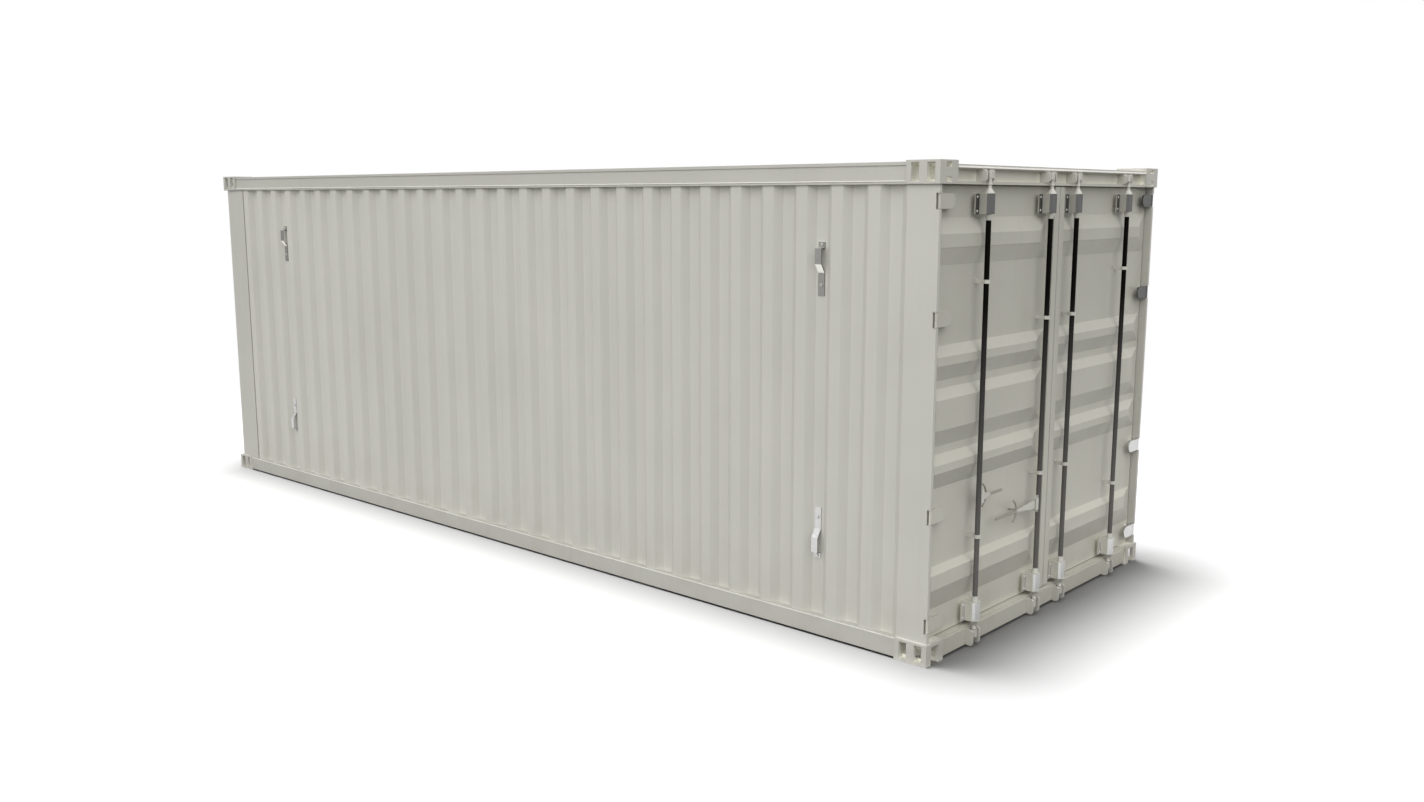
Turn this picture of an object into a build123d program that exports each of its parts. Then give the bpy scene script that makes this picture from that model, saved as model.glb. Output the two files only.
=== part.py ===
"""A closed freight container with a pair of doors at one end and flat steel sides.

Millimetres, +Z up. +X is the door end, -Y the long side seen from the left of the doors.
The container stands on its corner castings at Z = 0, and the origin lies under the middle
of its bounding box. Every frame member, wall sheet and door fitting is a piece of its own.
"""
from build123d import *
import os

# Overall size, over the corner castings
length = 7240.0
width = 2616.0
height = 2591.0

# Corner castings
casting_length = 200.0
casting_width = 165.0
casting_height = 118.0
casting_wall = 20.0
casting_cap = 26.0
lock_slot_length = 124.5
lock_slot_width = 63.5
casting_window_width = 44.0
casting_window_height = 92.0
casting_window_bar = 48.0
casting_end_hole_width = 52.0
casting_end_hole_height = 24.0
casting_end_bar = 48.0

# How far the frame faces lie inside the casting faces
side_inset = 16.0
door_end_inset = 10.0
front_end_inset = 36.0

# Posts
post_wall = 6.0
door_post_depth = 190.0
door_post_lip = 20.0
door_post_box_depth = 100.0
door_post_box_width = 102.0
front_post_depth = 88.0
front_post_width = 96.0

# Rails, headers and sills
rail_inset = 3.0
bottom_rail_foot = 12.0
rail_wall = 5.0
bottom_rail_ledge = 53.0
bottom_rail_flange = 40.0
top_rail_drop = 25.0
top_rail_width = 58.0
top_rail_lip = 5.0
header_depth = 110.0
header_channel = 35.0
header_lower_flange = 16.0
header_upper_flange = 22.0
header_wall = 6.0
header_plate = 4.0
sill_depth = 120.0
sill_foot = 14.0
sill_step_height = 14.0
sill_step_back = 10.0

# Corrugated side walls
sheet = 2.0
corrugation_pitch = 232.0
corrugation_slope = 42.0
corrugation_flat = (corrugation_pitch - 2 * corrugation_slope) / 2
side_corrugation_depth = 32.0
front_corrugation_depth = 40.0
front_corrugation_pitch = 250.0
front_corrugation_slope = 50.0
front_wall_inset = 12.0
roof_pitch = 209.0
roof_slope = 20.0
roof_corrugation_depth = 18.0
roof_drop = 8.0

# Floor
board_thickness = 28.0
floor_side_gap = 4.0
floor_end_gap = 8.0
cross_member_count = 22
cross_member_width = 45.0
cross_member_wall = 4.5

# Door leaves
leaf_depth = 66.0
leaf_set_back = 8.0
leaf_end_gap = 6.0
meeting_gap = 9.0
hinge_member = 51.0
meeting_member = 55.5
member_wall = 3.0
leaf_rail_wall = 5.0
door_sheet = 3.0
rib_depth = 36.0
rib_end_run = 155.0
rib_margin = 5.0
top_band = 159.0
bottom_band = 136.0

# Ribs of a door sheet: the two feet of each, with the rise of its lower and upper slope.
# The lower ones are measured up from the ground, the top one down from the roof.
lower_door_ribs = [(277.0, 507.0, 118.0, 33.0), (924.0, 1104.0, 89.0, 49.0),
                   (1145.0, 1446.0, 91.0, 53.0), (1487.0, 1667.0, 81.0, 54.0)]
top_door_rib = (519.0, 283.0, 90.0, 80.0)

# Hinges
pin_radius = 4.0
pin_set_back = 8.0
pin_side_inset = 13.0
running_clearance = 0.1
knuckle_radius = 8.0
blade_height = 76.0
blade_thickness = 8.0
blade_reach = 143.0
pad_width = 47.0
pad_height = 60.0
lug_thickness = 5.0
lug_gap = 2.0
leaf_hinge_offset = 17.0
notch_back = 13.0
lower_hinge_heights = [213.0, 795.0]
upper_hinge_drops = [786.0, 201.0]

# Lock rods, at the same places on both leaves
rod_radius = 14.0
rod_proud = 11.0
outer_rod_y = 848.0
inner_rod_y = 160.0
neck_radius = 10.0
cone_radius = 28.0
cone_length = 28.0
collar_radius = 21.0
collar_length = 30.0
bead_radius = 15.0
bead_height = 10.0
bead_place = 94.0
end_float = 1.0
cam_reach = 24.0
cam_radius = 12.0
cam_height = 40.0
lower_cam_z = 68.0
upper_cam_drop = 66.0
lower_bearing_z = 197.0
upper_bearing_drop = 216.0

# Bearing brackets and guides
bearing_height = 104.0
bearing_width = 76.0
bearing_front = 19.0
bearing_chamfer = 12.0
bearing_flange_width = 150.0
bearing_flange_thickness = 8.0
bearing_stand_off = 22.0
guide_height = 20.0
guide_wall = 5.0
guide_stem = 14.0
outer_guide_place = 613.5
inner_guide_place = 849.0

# Keepers that take the cams
keeper_gap = 31.0
keeper_width = 10.0
keeper_base = 10.0
keeper_plate = 2.5
keeper_bevel = 10.0
upper_keeper_front = 26.0
lower_keeper_front = 38.0
lower_keeper_low = 8.0
lower_keeper_high = 98.0

# Handles, on the rods of the left leaf
long_handle_z = 668.0
long_handle_length = 495.0
short_handle_z = 826.0
short_handle_length = 252.0
handle_thickness = 8.0
handle_root = 25.0
handle_waist = 7.0
handle_tail = 11.0
handle_grip = 7.0
hub_reach = 17.0
hub_height = 100.0
cheek_thickness = 4.0
cheek_gap = 2.0
cheek_height = 70.0
cheek_reach = 44.0
handle_pin_offset = 31.0
handle_pin_radius = 5.0
long_catch_offset = 235.0
short_catch_offset = 102.0
catch_wire = 8.0
catch_half_height = 62.0
catch_bow = 38.0
catch_gap = 6.0
catch_stem = 10.0

# Tie brackets on the long sides
bracket_width = 42.0
bracket_strap = 5.0
bracket_offset = 36.0
bracket_tab = 30.0
bracket_joggle = 6.0
bracket_rise_end = 118.0
bracket_slope_end = 164.0
bracket_length = 288.0
bracket_spread = 304.0
bracket_bay_from_door = 2
bracket_bay_from_front = 3
upper_bracket_drop = 415.0
lower_bracket_top = 742.0

# Places worked out from the sizes above
half_length = length / 2
half_width = width / 2
side_face = half_width - side_inset
end_face = half_length - door_end_inset
front_face = half_length - front_end_inset
casting_back = half_length - casting_length
casting_inner = half_width - casting_width
frame_bottom = casting_height
frame_top = height - casting_height
leaf_face = end_face - leaf_set_back
leaf_back = leaf_face - leaf_depth
panel_plane = leaf_face - rib_depth
pin_x = end_face - pin_set_back
pin_y = side_face - pin_side_inset
door_post_back = end_face - door_post_depth
hinge_heights = lower_hinge_heights + [height - drop for drop in upper_hinge_drops]
leaf_outer_y = pin_y - leaf_hinge_offset
leaf_inner_y = meeting_gap / 2
leaf_bottom = frame_bottom + leaf_end_gap
leaf_top = frame_top - leaf_end_gap
rod_x = half_length + rod_proud
hardware_front = rod_x + bearing_front
upper_bearing_z = height - upper_bearing_drop
upper_cam_z = height - upper_cam_drop
upper_bracket_top = height - upper_bracket_drop
floor_top = frame_bottom
floor_bottom = floor_top - board_thickness
floor_end = casting_back - floor_end_gap
cross_member_foot = bottom_rail_foot + rail_wall
header_top = height - top_rail_drop + header_wall
roof_top = height - top_rail_drop - roof_drop
side_wall_run = door_post_back + front_face - front_post_depth
side_wall_ridges = int((side_wall_run - corrugation_slope - corrugation_flat) / corrugation_pitch)
first_bay_x = door_post_back - corrugation_slope - corrugation_flat / 2
bracket_places = [first_bay_x - bay * corrugation_pitch for bay in
                  (bracket_bay_from_door, side_wall_ridges - bracket_bay_from_front)]
frame_shift = (hardware_front - half_length) / 2

LEFT = -1
RIGHT = 1


def block(x0, x1, y0, y1, z0, z1):
    """A box between two corners, given in any order along each axis."""
    size = (abs(x1 - x0), abs(y1 - y0), abs(z1 - z0))
    return Pos((x0 + x1) / 2, (y0 + y1) / 2, (z0 + z1) / 2) * Box(*size)


def upright(radius, x, y, z0, z1):
    """A round bar standing along Z."""
    return Pos(x, y, (z0 + z1) / 2) * Cylinder(radius, z1 - z0)


def prism(points, plane, depth):
    """A closed outline of points, drawn on a plane and extruded along its normal."""
    return extrude(plane * make_face(Polyline(*points, close=True)), depth)


def mirrored(shape):
    """The same shape on the other long side."""
    return mirror(shape, about=Plane.XZ)


def handed(shape, side):
    """Keep a shape drawn for the left side, or mirror it to the right."""
    return shape if side == LEFT else mirrored(shape)


def corner_casting(side, end, top):
    """One hollow corner casting with its windows and its lock slot."""
    body = block(-casting_length / 2, casting_length / 2, -casting_width / 2, casting_width / 2,
                 0, casting_height)
    cavity = block(-casting_length / 2 + casting_wall, casting_length / 2 - casting_wall,
                   -casting_width / 2 + casting_wall, casting_width / 2 - casting_wall,
                   casting_wall, casting_height - casting_cap)
    body -= cavity
    slot = SlotOverall(lock_slot_length, lock_slot_width)
    body -= Pos(0, 0, casting_height - 2 * casting_cap) * extrude(slot, 3 * casting_cap)
    body -= side_windows()
    body -= end_windows() if top else end_notch()
    if not top:
        body = Pos(0, 0, casting_height) * mirror(body, about=Plane.XY)
    if end < 0:
        body = mirror(body, about=Plane.YZ)
    if side == RIGHT:
        body = mirrored(body)
    x = end * (half_length - casting_length / 2)
    y = side * (half_width - casting_width / 2)
    z = height - casting_height if top else 0
    return Pos(x, y, z) * body


def side_windows():
    """Two upright windows with a bar between them, through the outer side wall."""
    offset = (casting_window_bar + casting_window_width) / 2
    cutter = block(-casting_window_width / 2, casting_window_width / 2,
                   -casting_width, -casting_width / 2 + 2 * casting_wall,
                   (casting_height - casting_window_height) / 2,
                   (casting_height + casting_window_height) / 2)
    return [Pos(x, 0, 0) * cutter for x in (-offset, offset)]


def end_windows():
    """Two small holes, one above the other, through the outer end wall."""
    offset = (casting_end_bar + casting_end_hole_height) / 2
    cutter = block(casting_length / 2 - 2 * casting_wall, casting_length,
                   -casting_end_hole_width / 2, casting_end_hole_width / 2,
                   casting_height / 2 - casting_end_hole_height / 2,
                   casting_height / 2 + casting_end_hole_height / 2)
    return [Pos(0, 0, z) * cutter for z in (-offset, offset)]


def end_notch():
    """The tall notch of a bottom casting, which opens down between two legs."""
    leg = (casting_width - 1.4 * casting_end_hole_width) / 2
    return block(casting_length / 2 - 2 * casting_wall, casting_length,
                 -casting_width / 2 + leg, casting_width / 2 - leg,
                 casting_wall, 2 * casting_height)


def door_post():
    """The left door post: a stop box behind the leaf, with a narrow tube beside the leaf."""
    box_front = door_post_back + door_post_box_depth
    box_inner = -side_face + door_post_box_width
    lip_inner = -side_face + door_post_lip
    post = block(door_post_back, box_front, -side_face, box_inner, frame_bottom, frame_top)
    post += block(box_front, end_face, -side_face, lip_inner, frame_bottom, frame_top)
    post -= block(door_post_back + post_wall, box_front - post_wall, -side_face + post_wall,
                  box_inner - post_wall, frame_bottom, frame_top)
    post -= block(box_front, end_face - post_wall, -side_face + post_wall, lip_inner - post_wall,
                  frame_bottom, frame_top)
    reach = blade_height / 2 + lug_gap + lug_thickness
    for z in hinge_heights:
        post -= block(pin_x - notch_back, half_length, -half_width, -side_face + 2 * door_post_lip,
                      z - reach, z + reach)
    return post


def front_post():
    """The left post of the closed end, a plain tube."""
    outer = block(-front_face, -front_face + front_post_depth, -side_face,
                  -side_face + front_post_width, frame_bottom, frame_top)
    inner = block(-front_face + post_wall, -front_face + front_post_depth - post_wall,
                  -side_face + post_wall, -side_face + front_post_width - post_wall,
                  frame_bottom, frame_top)
    return outer - inner


def bottom_side_rail():
    """The left bottom rail: a channel with a ledge on top for the wall sheet."""
    face = -half_width + rail_inset
    rail = block(-casting_back, casting_back, face, face + rail_wall, bottom_rail_foot, frame_bottom)
    rail += block(-casting_back, casting_back, face, face + bottom_rail_ledge,
                  frame_bottom - rail_wall, frame_bottom)
    rail += block(-casting_back, casting_back, face, face + bottom_rail_flange,
                  bottom_rail_foot, bottom_rail_foot + rail_wall)
    return rail


def top_side_rail():
    """The left top rail: a tube with a small lip along its lower edge."""
    face = -side_face - top_rail_lip
    top = height - top_rail_drop
    outer = block(-casting_back, casting_back, face, face + top_rail_width, frame_top, top)
    inner = block(-casting_back, casting_back, face + rail_wall, face + top_rail_width - rail_wall,
                  frame_top + rail_wall, top - rail_wall)
    lip = block(-casting_back, casting_back, face - top_rail_lip, face, frame_top,
                frame_top + 2 * rail_wall)
    return outer - inner + lip


def door_header():
    """The header over the doors: a channel open to the front, with a box behind it."""
    back = end_face - header_depth
    web = end_face - header_channel
    header = block(back, end_face, -casting_inner, casting_inner, frame_top, header_top)
    header -= block(web, end_face, -casting_inner, casting_inner, frame_top + header_lower_flange,
                    header_top - header_upper_flange)
    header -= block(back + header_wall, web - header_wall, -casting_inner, casting_inner,
                    frame_top + header_wall, header_top - header_wall)
    header += block(casting_back, back, -casting_inner, casting_inner, roof_top - header_plate,
                    roof_top)
    return header


def door_sill():
    """The sill under the doors: a tube with a raised step behind its front edge."""
    back = end_face - sill_depth
    step_front = end_face - sill_step_back
    edge = frame_bottom - sill_step_height
    sill = block(back, end_face, -casting_inner, casting_inner, sill_foot, edge)
    sill += block(back, step_front, -casting_inner, casting_inner, edge, frame_bottom)
    sill -= block(back + post_wall, end_face - post_wall, -casting_inner, casting_inner,
                  sill_foot + post_wall, edge - post_wall)
    sill -= block(back + post_wall, step_front - post_wall, -casting_inner, casting_inner,
                  edge - post_wall, frame_bottom - post_wall)
    return sill


def front_header():
    """The top member of the closed end, over the front wall."""
    top = height - top_rail_drop
    outer = block(-front_face, -front_face + front_post_depth, -casting_inner, casting_inner,
                  frame_top, top)
    inner = block(-front_face + rail_wall, -front_face + front_post_depth - rail_wall,
                  -casting_inner, casting_inner, frame_top + rail_wall, top - rail_wall)
    plate = block(-front_face + front_post_depth, -casting_back, -casting_inner, casting_inner,
                  roof_top - header_plate, roof_top)
    return outer - inner + plate


def front_sill():
    """The bottom member of the closed end, under the front wall."""
    outer = block(-front_face, -front_face + front_post_depth, -casting_inner, casting_inner,
                  sill_foot, frame_bottom)
    inner = block(-front_face + rail_wall, -front_face + front_post_depth - rail_wall,
                  -casting_inner, casting_inner, sill_foot + rail_wall, frame_bottom - rail_wall)
    return outer - inner


def corrugated_outline(start, stop, pitch, slope, depth):
    """The outline of a corrugated sheet that runs from start down to stop.

    It begins on the outer side at start, and its outer side is at zero and its inner side
    at depth. The last stretch stays on the inner side.
    """
    flat = (pitch - 2 * slope) / 2
    line = [(start, 0.0), (start - slope, depth)]
    ridges = int((start - stop - slope - flat) / pitch)
    for i in range(ridges):
        place = start - slope - flat - i * pitch
        line += [(place, depth), (place - slope, 0.0), (place - slope - flat, 0.0),
                 (place - 2 * slope - flat, depth)]
    line.append((stop, depth))
    back = [(x, y + sheet) for x, y in reversed(line)]
    return line + back


def side_wall():
    """The left wall sheet, pressed into upright corrugations."""
    outline = corrugated_outline(door_post_back, -front_face + front_post_depth,
                                 corrugation_pitch, corrugation_slope, side_corrugation_depth)
    points = [(x, -side_face + y) for x, y in outline]
    return prism(points, Plane.XY.offset(frame_bottom), frame_top - frame_bottom)


def front_wall():
    """The wall sheet of the closed end."""
    edge = side_face - front_post_width
    outline = corrugated_outline(edge, -edge, front_corrugation_pitch, front_corrugation_slope,
                                 front_corrugation_depth)
    face = -front_face + front_wall_inset
    points = [(face + y, x) for x, y in outline]
    return prism(points, Plane.XY.offset(frame_bottom), frame_top - frame_bottom)


def roof():
    """The roof sheet, with shallow corrugations across the container."""
    outline = corrugated_outline(casting_back, -casting_back, roof_pitch, roof_slope,
                                 roof_corrugation_depth)
    points = [(x, roof_top - y) for x, y in outline]
    edge = side_face + top_rail_lip - top_rail_width
    return prism(points, Plane.XZ.offset(-edge), 2 * edge)


def floor():
    """The floor boards between the side rails."""
    edge = half_width - rail_inset - bottom_rail_ledge - floor_side_gap
    return block(-floor_end, floor_end, -edge, edge, floor_bottom, floor_top)


def floor_ends():
    """The floor boards between the corner castings, up to the sills."""
    edge = casting_inner - floor_end_gap
    spans = ((floor_end, end_face - sill_depth), (-front_face + front_post_depth, -floor_end))
    return [block(x0, x1, -edge, edge, floor_bottom, floor_top) for x0, x1 in spans]


def cross_member():
    """One channel under the floor, from rail to rail, drawn at X = 0."""
    edge = half_width - rail_inset - rail_wall
    outer = block(0, cross_member_width, -edge, edge, cross_member_foot, floor_bottom)
    inner = block(cross_member_wall, cross_member_width, -edge, edge,
                  cross_member_foot + cross_member_wall, floor_bottom - cross_member_wall)
    return outer - inner


def cross_members():
    """The row of channels that carries the floor."""
    run = 2 * (casting_back - cross_member_width)
    step = run / (cross_member_count - 1)
    beam = cross_member()
    first = -casting_back + cross_member_width / 2
    return [Pos(first + i * step, 0, 0) * beam for i in range(cross_member_count)]


def hinge_pin(z):
    """A hinge pin of the left post with the two lugs that hold it."""
    inner = -pin_y + knuckle_radius
    reach = blade_height / 2 + lug_gap
    pin = upright(pin_radius, pin_x, -pin_y, z - reach, z + reach)
    for low, high in ((z - reach - lug_thickness, z - reach), (z + reach, z + reach + lug_thickness)):
        pin += block(pin_x - notch_back, end_face, -side_face, inner, low, high)
    return pin


def hinge_blade(z):
    """A hinge blade of the left leaf: a knuckle, a flat leg with a round end, and a pad."""
    low = z - blade_height / 2
    high = z + blade_height / 2
    back = pin_x - blade_thickness / 2
    round_centre = -pin_y + blade_reach - blade_height / 2
    blade = upright(knuckle_radius, pin_x, -pin_y, low, high)
    blade += block(back, back + blade_thickness, -pin_y, round_centre, low, high)
    blade += Pos(pin_x, round_centre, z) * Rot(0, 90, 0) * Cylinder(blade_height / 2, blade_thickness)
    blade += block(panel_plane, back, -leaf_outer_y, -leaf_outer_y + pad_width,
                   z - pad_height / 2, z + pad_height / 2)
    return blade - upright(pin_radius + running_clearance, pin_x, -pin_y, low, high)


def leaf_frame():
    """The welded frame of the left leaf: two upright tubes and two cross channels."""
    frame = Part()
    hinge_edge = -leaf_outer_y + hinge_member
    meeting_edge = -leaf_inner_y - meeting_member
    sheet_back = panel_plane - door_sheet
    for y0, y1, front in ((-leaf_outer_y, hinge_edge, sheet_back),
                          (meeting_edge, -leaf_inner_y, leaf_face)):
        tube = block(leaf_back, front, y0, y1, leaf_bottom, leaf_top)
        tube -= block(leaf_back + member_wall, front - member_wall, y0 + member_wall,
                      y1 - member_wall, leaf_bottom, leaf_top)
        frame += tube
    for low, high in ((leaf_bottom, leaf_bottom + bottom_band), (leaf_top - top_band, leaf_top)):
        channel = block(leaf_back, sheet_back, hinge_edge, meeting_edge, low, high)
        channel -= block(leaf_back, sheet_back - leaf_rail_wall, hinge_edge, meeting_edge,
                         low + leaf_rail_wall, high - leaf_rail_wall)
        frame += channel
    return frame


def rib(y0, y1, foot, x0):
    """A raised field from the sheet plane at x0, square at y0 and sloping down at y1."""
    z0, z1, low_rise, high_rise = foot
    x1 = x0 + rib_depth
    upright_profile = [(x0, z0), (x1, z0 + low_rise), (x1, z1 - high_rise), (x0, z1)]
    level_profile = [(x0, y0), (x1, y0), (x1, y1 - rib_end_run), (x0, y1)]
    along = prism(upright_profile, Plane.XZ.offset(-y1), y1 - y0)
    return along & prism(level_profile, Plane.XY.offset(z0), z1 - z0)


def leaf_panel(side):
    """The pressed sheet of one leaf. Its raised fields all slope down towards +Y."""
    outer = side * leaf_outer_y
    inner = side * (leaf_inner_y + meeting_member)
    y0, y1 = sorted((outer - side * rib_margin, inner))
    panel = block(panel_plane - door_sheet, panel_plane, outer, inner, leaf_bottom, leaf_top)
    low_foot, high_foot, low_rise, high_rise = top_door_rib
    top_rib = (height - low_foot, height - high_foot, low_rise, high_rise)
    for foot in lower_door_ribs + [top_rib]:
        panel += rib(y0, y1, foot, panel_plane)
        panel -= rib(y0 + door_sheet, y1, foot, panel_plane - door_sheet)
    return panel


def bearing(y, z):
    """A bearing bracket of the left leaf, round a rod at y, with its centre at z."""
    low = z - bearing_height / 2
    high = z + bearing_height / 2
    flange_back = panel_plane + bearing_stand_off
    bracket = block(panel_plane, flange_back, y - bearing_width / 2, y + bearing_width / 2, low, high)
    bracket += block(flange_back, flange_back + bearing_flange_thickness,
                     y - bearing_flange_width / 2, y + bearing_flange_width / 2, low, high)
    housing = block(flange_back, hardware_front, y - bearing_width / 2, y + bearing_width / 2,
                    low, high)
    front_edges = housing.edges().filter_by(Axis.Z).group_by(Axis.X)[-1]
    bracket += chamfer(front_edges, bearing_chamfer)
    return bracket - upright(rod_radius + running_clearance, rod_x, y, low, high)


def guide(y, z):
    """A guide clip: a ring round the rod on a stem from the sheet."""
    half = guide_height / 2
    ring = upright(rod_radius + guide_wall, rod_x, y, z - half, z + half)
    stem = block(panel_plane, rod_x, y - guide_stem / 2, y + guide_stem / 2, z - half, z + half)
    return ring + stem - upright(rod_radius + running_clearance, rod_x, y, z - half, z + half)


def lock_rod(y):
    """The plain bar of a lock rod at y, between its two turned ends."""
    reach = bearing_height / 2 + end_float + collar_length
    return upright(rod_radius, rod_x, y, lower_bearing_z + reach, upper_bearing_z - reach)


def rod_end(y, bearing_z, cam_z, turn):
    """A turned end of a lock rod: collar, journal, cone, bead and neck, with a cam."""
    side = 1 if cam_z > bearing_z else -1
    edge = bearing_height / 2 + end_float
    tip = abs(cam_z - bearing_z) + cam_height / 2
    profile = [(0, -edge - collar_length), (rod_radius, -edge - collar_length),
               (collar_radius, -edge), (rod_radius, -edge), (rod_radius, edge), (cone_radius, edge),
               (neck_radius, edge + cone_length), (neck_radius, bead_place),
               (bead_radius, bead_place + bead_height / 2), (neck_radius, bead_place + bead_height),
               (neck_radius, tip), (0, tip)]
    outline = Polyline(*[(radius, side * z) for radius, z in profile], close=True)
    turned = revolve(Plane.XZ * make_face(outline), Axis.Z)
    return Pos(rod_x, y, bearing_z) * turned + cam(y, cam_z, turn)


def cam(y, z, turn):
    """A cam: a flat lobe on the rod's neck, which reaches out to one side."""
    overall = cam_radius + cam_reach
    lobe = extrude(Rot(0, 0, 90) * SlotOverall(overall, 2 * cam_radius), cam_height)
    return Pos(rod_x, y + turn * (cam_reach - cam_radius) / 2, z - cam_height / 2) * lobe


def handle_hub(y, z, turn):
    """A tab on the side of a rod with two cheeks and a pin, for a handle that points to turn."""
    gap = handle_thickness / 2 + cheek_gap
    hub = block(rod_x - gap, rod_x + gap, y, y + turn * hub_reach, z - hub_height / 2,
                z + hub_height / 2)
    for low, high in ((-gap - cheek_thickness, -gap), (gap, gap + cheek_thickness)):
        hub += block(rod_x + low, rod_x + high, y + turn * rod_radius, y + turn * cheek_reach,
                     z - cheek_height / 2, z + cheek_height / 2)
    hub -= upright(rod_radius, rod_x, y, z - hub_height / 2, z + hub_height / 2)
    pin_span = 2 * (gap + cheek_thickness)
    hub += Pos(rod_x, y + turn * handle_pin_offset, z) * Rot(0, 90, 0) * Cylinder(
        handle_pin_radius, pin_span)
    return hub


def handle(y, z, turn, reach, waist_at):
    """A flat lever, from its pin to a narrow waist at its catch and out to its tip."""
    root = handle_pin_offset - handle_pin_radius
    tip = reach - handle_grip
    points = [(root, -handle_tail), (cheek_reach, -handle_root), (waist_at, -handle_waist),
              (tip, -handle_grip), (tip, handle_grip), (waist_at, handle_waist),
              (cheek_reach, handle_root), (root, handle_tail)]
    outline = [(y + turn * a, z + b) for a, b in points]
    lever = prism(outline, Plane.YZ.offset(rod_x - handle_thickness / 2), handle_thickness)
    for place, radius in ((handle_pin_offset, handle_tail), (tip, handle_grip)):
        lever += Pos(rod_x, y + turn * place, z) * Rot(0, 90, 0) * Cylinder(radius, handle_thickness)
    pin_hole = Cylinder(handle_pin_radius + running_clearance, handle_thickness)
    return lever - Pos(rod_x, y + turn * handle_pin_offset, z) * Rot(0, 90, 0) * pin_hole


def handle_catch(y, z, turn):
    """A bowed bar behind a lever, on a stem from the door sheet."""
    back = rod_x - handle_thickness / 2 - catch_gap - catch_wire
    bow = ThreePointArc((y + turn * catch_bow, z + catch_half_height), (y, z),
                        (y + turn * catch_bow, z - catch_half_height))
    bar = extrude(Plane.YZ.offset(back) * trace(bow, line_width=catch_wire), catch_wire)
    half = catch_stem / 2
    return bar + block(panel_plane, back + catch_wire / 2, y - half, y + half, z - half, z + half)


def keeper_ear(x0, reach, y0, y1, low, high):
    """An ear of a keeper from x0 to its reach before the frame, with its front corners off."""
    ear = block(x0, end_face + reach, y0, y1, low, high)
    return chamfer(ear.edges().filter_by(Axis.Y).group_by(Axis.X)[-1], keeper_bevel)


def upper_keeper(y):
    """Two ears in the header's channel, one each side of a cam."""
    low = frame_top + header_lower_flange
    high = header_top - header_upper_flange
    back = end_face - header_channel
    ears = block(back, back + keeper_base, y - keeper_gap, y + keeper_gap, low, high)
    for side in (LEFT, RIGHT):
        near = y + side * keeper_gap
        ears += keeper_ear(back, upper_keeper_front, near, near + side * keeper_width, low, high)
    return ears


def lower_keeper(y):
    """Two ears on the sill, one each side of a cam, on a thin plate."""
    plate = block(end_face, end_face + keeper_plate, y - keeper_gap, y + keeper_gap,
                  sill_foot, lower_keeper_high)
    for side in (LEFT, RIGHT):
        near = y + side * keeper_gap
        plate += keeper_ear(end_face, lower_keeper_front, near, near + side * keeper_width,
                            lower_keeper_low, lower_keeper_high)
    return plate


def tie_bracket(x, top, flip):
    """A joggled strap on the left wall: a short tab, a raised part and a long tail."""
    wall = -side_face + side_corrugation_depth - bracket_strap / 2
    out = wall - bracket_offset + bracket_strap
    line = [(wall, 0), (wall, bracket_tab), (out, bracket_tab + bracket_joggle),
            (out, bracket_rise_end), (wall, bracket_slope_end), (wall, bracket_length)]
    if flip:
        line = [(y, bracket_spread - drop) for y, drop in line]
    strap = trace(Polyline(*[(y, top - drop) for y, drop in line]), line_width=bracket_strap)
    return extrude(Plane.YZ.offset(x - bracket_width / 2) * strap, bracket_width)


def solids_of(shape):
    """All solids of a shape or of a list of shapes."""
    shapes = shape if isinstance(shape, list) else [shape]
    return [solid for item in shapes for solid in item.solids()]


def both_sides(shapes):
    """The given left shapes with their mirror images."""
    return shapes + [mirrored(shape) for shape in shapes]


def save(name, shape):
    """Write a node as a STEP file, moved so that the origin is under the bounding box."""
    solids = [Pos(-frame_shift, 0, 0) * solid for solid in solids_of(shape)]
    body = solids[0] if len(solids) == 1 else Compound(children=solids)
    export_step(body, "parts/" + name + ".step")


def save_frame():
    """The castings, posts, rails, headers and sills."""
    corners = [(side, end) for end in (1, -1) for side in (LEFT, RIGHT)]
    save("top_castings", [corner_casting(side, end, True) for side, end in corners])
    save("bottom_castings", [corner_casting(side, end, False) for side, end in corners])
    save("door_posts", both_sides([door_post()]))
    save("front_posts", both_sides([front_post()]))
    save("top_side_rails", both_sides([top_side_rail()]))
    save("bottom_side_rails", both_sides([bottom_side_rail()]))
    save("side_wall_left", side_wall())
    save("side_wall_right", mirrored(side_wall()))
    save("door_header", door_header())
    save("door_sill", door_sill())
    save("front_header", front_header())
    save("front_sill", front_sill())
    save("front_wall", front_wall())
    save("roof", roof())
    save("floor_boards", floor())
    save("floor_end_boards", floor_ends())
    save("cross_members", cross_members())


def save_fittings():
    """What is fixed to the frame: hinge pins, keepers and tie brackets."""
    save("hinge_pins", both_sides([hinge_pin(z) for z in hinge_heights]))
    rods = [-outer_rod_y, -inner_rod_y, inner_rod_y, outer_rod_y]
    save("upper_keepers", [upper_keeper(y) for y in rods])
    save("lower_keepers", [lower_keeper(y) for y in rods])
    brackets = [tie_bracket(x, upper_bracket_top, False) for x in bracket_places]
    brackets += [tie_bracket(x, lower_bracket_top, True) for x in bracket_places]
    save("tie_brackets", both_sides(brackets))


def save_leaf(side, name):
    """One door leaf with its hinge blades, bearings and guides."""
    save(name + "_frame", handed(leaf_frame(), side))
    save(name + "_panel", leaf_panel(side))
    save(name + "_hinges", [handed(hinge_blade(z), side) for z in hinge_heights])
    bearings = [bearing(-y, z) for y in (outer_rod_y, inner_rod_y)
                for z in (lower_bearing_z, upper_bearing_z)]
    save(name + "_bearings", [handed(shape, side) for shape in bearings])
    guides = [guide(-outer_rod_y, z) for z in (outer_guide_place, height - outer_guide_place)]
    guides += [guide(-inner_rod_y, z) for z in (inner_guide_place, height - inner_guide_place)]
    save(name + "_guides", [handed(shape, side) for shape in guides])


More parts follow.
